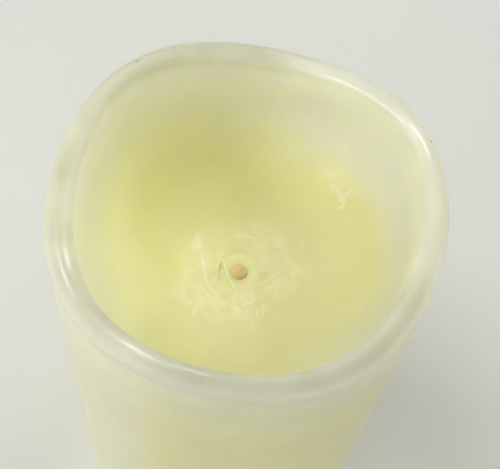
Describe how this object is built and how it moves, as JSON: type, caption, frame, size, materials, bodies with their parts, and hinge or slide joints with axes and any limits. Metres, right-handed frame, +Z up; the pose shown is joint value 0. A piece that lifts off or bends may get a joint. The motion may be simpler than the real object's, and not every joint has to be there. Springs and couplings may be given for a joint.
{
  "type": "flameless led candle",
  "caption": "Flameless wax pillar candle with a wavy melted rim, a deep bowl with a small LED at its centre, and a battery module with a twist door in its base.",
  "frame": {"origin": "centre of the pillar's bottom, on the surface that it stands on", "axes": "+Z up along the pillar's axis, -Y towards the front from which the bowl is seen, with the battery door towards -Y and the switch towards +Y in the base"},
  "size_m": [0.076, 0.076, 0.1524],
  "materials": {
    "wax": "waxy, slightly glossy, translucent",
    "plug_wax": "waxy, slightly glossy, translucent",
    "led_epoxy": "clear amber, glossy",
    "tinned_steel": "tinned, bright",
    "hot_glue": "cloudy, glossy",
    "heat_shrink": "satin",
    "base_plastic": "fine moulded texture",
    "door_plastic": "fine moulded texture",
    "cover_plastic": "satin",
    "screw_steel": "zinc plated",
    "grommet_rubber": "matt",
    "cell_steel": "nickel plated",
    "cell_sleeve": "plain glossy sleeve",
    "contact_steel": "nickel plated sheet",
    "spring_steel": "nickel plated wire",
    "board_laminate": "bare phenolic laminate",
    "chip_epoxy": "poured, satin",
    "crystal_can": "bright can",
    "capacitor_sleeve": "plain shrink sleeve",
    "resistor_body": "lacquered",
    "solder": "bright solder",
    "switch_steel": "tinned sheet",
    "wafer_laminate": "phenolic wafer",
    "knob_plastic": "moulded",
    "red_insulation": "satin",
    "black_insulation": "satin"
  },
  "bodies": {
    "pillar": {"wax_shell": "wax", "wax_plug": "plug_wax", "led_body": "led_epoxy", "led_leads": "tinned_steel", "led_glue": "hot_glue", "lead_sleeves": "heat_shrink", "module_base": "base_plastic", "module_cover": "cover_plastic", "cover_screws": "screw_steel", "base_glue_ring": "hot_glue", "wire_grommet": "grommet_rubber", "battery_a": "cell_steel", "battery_a_sleeve": "cell_sleeve", "battery_b": "cell_steel", "battery_b_sleeve": "cell_sleeve", "positive_contact": "contact_steel", "negative_contact": "contact_steel", "negative_spring": "spring_steel", "circuit_board": "board_laminate", "board_screws": "screw_steel", "controller_blob": "chip_epoxy", "timing_crystal": "crystal_can", "capacitor": "capacitor_sleeve", "resistor": "resistor_body", "switch_pins": "tinned_steel", "solder_joints": "solder", "switch_can": "switch_steel", "switch_wafer": "wafer_laminate", "led_wire_red": "red_insulation", "battery_wire_red": "red_insulation", "led_wire_black": "black_insulation", "battery_wire_black": "black_insulation"},
    "door": {"battery_door": "door_plastic", "bridge_contact": "contact_steel", "bridge_spring": "spring_steel"},
    "knob": {"switch_knob": "knob_plastic"}
  },
  "joints": [
    {"name": "door_turn", "type": "hinge", "parent": "pillar", "child": "door", "pos_m": [0, -0.0095, 0.001], "axis": [0, 0, -1], "range_deg": [0, 35]},
    {"name": "switch_slide", "type": "slide", "parent": "pillar", "child": "knob", "axis": [1, 0, 0], "range_m": [0, 0.004]}
  ]
}
